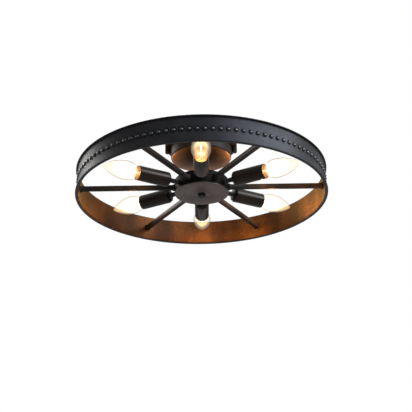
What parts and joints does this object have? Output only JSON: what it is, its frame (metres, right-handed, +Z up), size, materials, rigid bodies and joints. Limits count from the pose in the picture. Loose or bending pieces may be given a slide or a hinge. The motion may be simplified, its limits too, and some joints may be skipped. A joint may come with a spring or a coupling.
{
  "type": "ceiling light",
  "caption": "Flush ceiling light shaped as a spoked wheel with a studded black rim, copper inside, and candle bulbs on a drum hub under a round stepped canopy.",
  "frame": {"origin": "centre of the ceiling bracket's top face, on the ceiling", "axes": "+Z up into the ceiling; the lowest point hangs 109.2 mm below; the row of bracket slots runs along X, and the picture looks along +Y"},
  "size_m": [0.4572, 0.4572, 0.1092],
  "materials": {
    "black_steel": "satin black paint with a faint blue cast",
    "brown_black_steel": "flat brown-black paint",
    "copper_liner": "antique copper, mottled in upright streaks",
    "zinc_steel": "zinc plated",
    "brass_parts": "machined",
    "bulb_brass": "pressed",
    "lampholder_ceramic": "matt glaze",
    "clear_glass": "clear",
    "lit_filament": "glass stem with lit filament",
    "black_insulation": "smooth",
    "white_insulation": "smooth",
    "green_insulation": "smooth",
    "green_screw": "green lacquer",
    "orange_plastic": "moulded"
  },
  "bodies": {
    "root": {"bracket_bar": "zinc_steel", "canopy_studs": "zinc_steel", "canopy_nuts": "black_steel", "ground_screw": "green_screw", "canopy": "black_steel", "stem_sleeve": "black_steel", "threaded_pipe": "brass_parts", "pipe_nuts": "brass_parts", "pipe_washers": "zinc_steel", "hub_drum": "black_steel", "hub_cover": "brown_black_steel", "rim_band": "black_steel", "rim_liner": "copper_liner", "rim_studs": "black_steel", "socket_nipples": "black_steel", "nipple_nuts": "brass_parts", "lamp_contacts": "brass_parts", "lamp_shells": "brass_parts", "black_leads": "black_insulation", "white_leads": "white_insulation", "ground_lead": "green_insulation", "wire_caps": "orange_plastic", "spoke_1": "brown_black_steel", "socket_cup_1": "black_steel", "lampholder_1": "lampholder_ceramic", "spoke_2": "brown_black_steel", "socket_cup_2": "black_steel", "lampholder_2": "lampholder_ceramic", "spoke_3": "brown_black_steel", "socket_cup_3": "black_steel", "lampholder_3": "lampholder_ceramic", "spoke_4": "brown_black_steel", "socket_cup_4": "black_steel", "lampholder_4": "lampholder_ceramic", "spoke_5": "brown_black_steel", "socket_cup_5": "black_steel", "lampholder_5": "lampholder_ceramic", "spoke_6": "brown_black_steel", "socket_cup_6": "black_steel", "lampholder_6": "lampholder_ceramic"},
    "finial": {"finial": "black_steel"},
    "bulb_1": {"bulb_glass_1": "clear_glass", "bulb_cap_1": "bulb_brass", "bulb_filament_1": "lit_filament"},
    "bulb_2": {"bulb_glass_2": "clear_glass", "bulb_cap_2": "bulb_brass", "bulb_filament_2": "lit_filament"},
    "bulb_3": {"bulb_glass_3": "clear_glass", "bulb_cap_3": "bulb_brass", "bulb_filament_3": "lit_filament"},
    "bulb_4": {"bulb_glass_4": "clear_glass", "bulb_cap_4": "bulb_brass", "bulb_filament_4": "lit_filament"},
    "bulb_5": {"bulb_glass_5": "clear_glass", "bulb_cap_5": "bulb_brass", "bulb_filament_5": "lit_filament"},
    "bulb_6": {"bulb_glass_6": "clear_glass", "bulb_cap_6": "bulb_brass", "bulb_filament_6": "lit_filament"}
  },
  "joints": [
    {"name": "bulb_1_pull", "type": "slide", "parent": "root", "child": "bulb_1", "axis": [0.866, 0.5, 0], "range_m": [0, 0.019]},
    {"name": "bulb_2_pull", "type": "slide", "parent": "root", "child": "bulb_2", "axis": [0, 1, 0], "range_m": [0, 0.019]},
    {"name": "bulb_3_pull", "type": "slide", "parent": "root", "child": "bulb_3", "axis": [-0.866, 0.5, 0], "range_m": [0, 0.019]},
    {"name": "bulb_4_pull", "type": "slide", "parent": "root", "child": "bulb_4", "axis": [-0.866, -0.5, 0], "range_m": [0, 0.019]},
    {"name": "bulb_5_pull", "type": "slide", "parent": "root", "child": "bulb_5", "axis": [0, -1, 0], "range_m": [0, 0.019]},
    {"name": "bulb_6_pull", "type": "slide", "parent": "root", "child": "bulb_6", "axis": [0.866, -0.5, 0], "range_m": [0, 0.019]},
    {"name": "finial_unscrew", "type": "slide", "parent": "root", "child": "finial", "axis": [0, 0, -1], "range_m": [0, 0.015]}
  ]
}
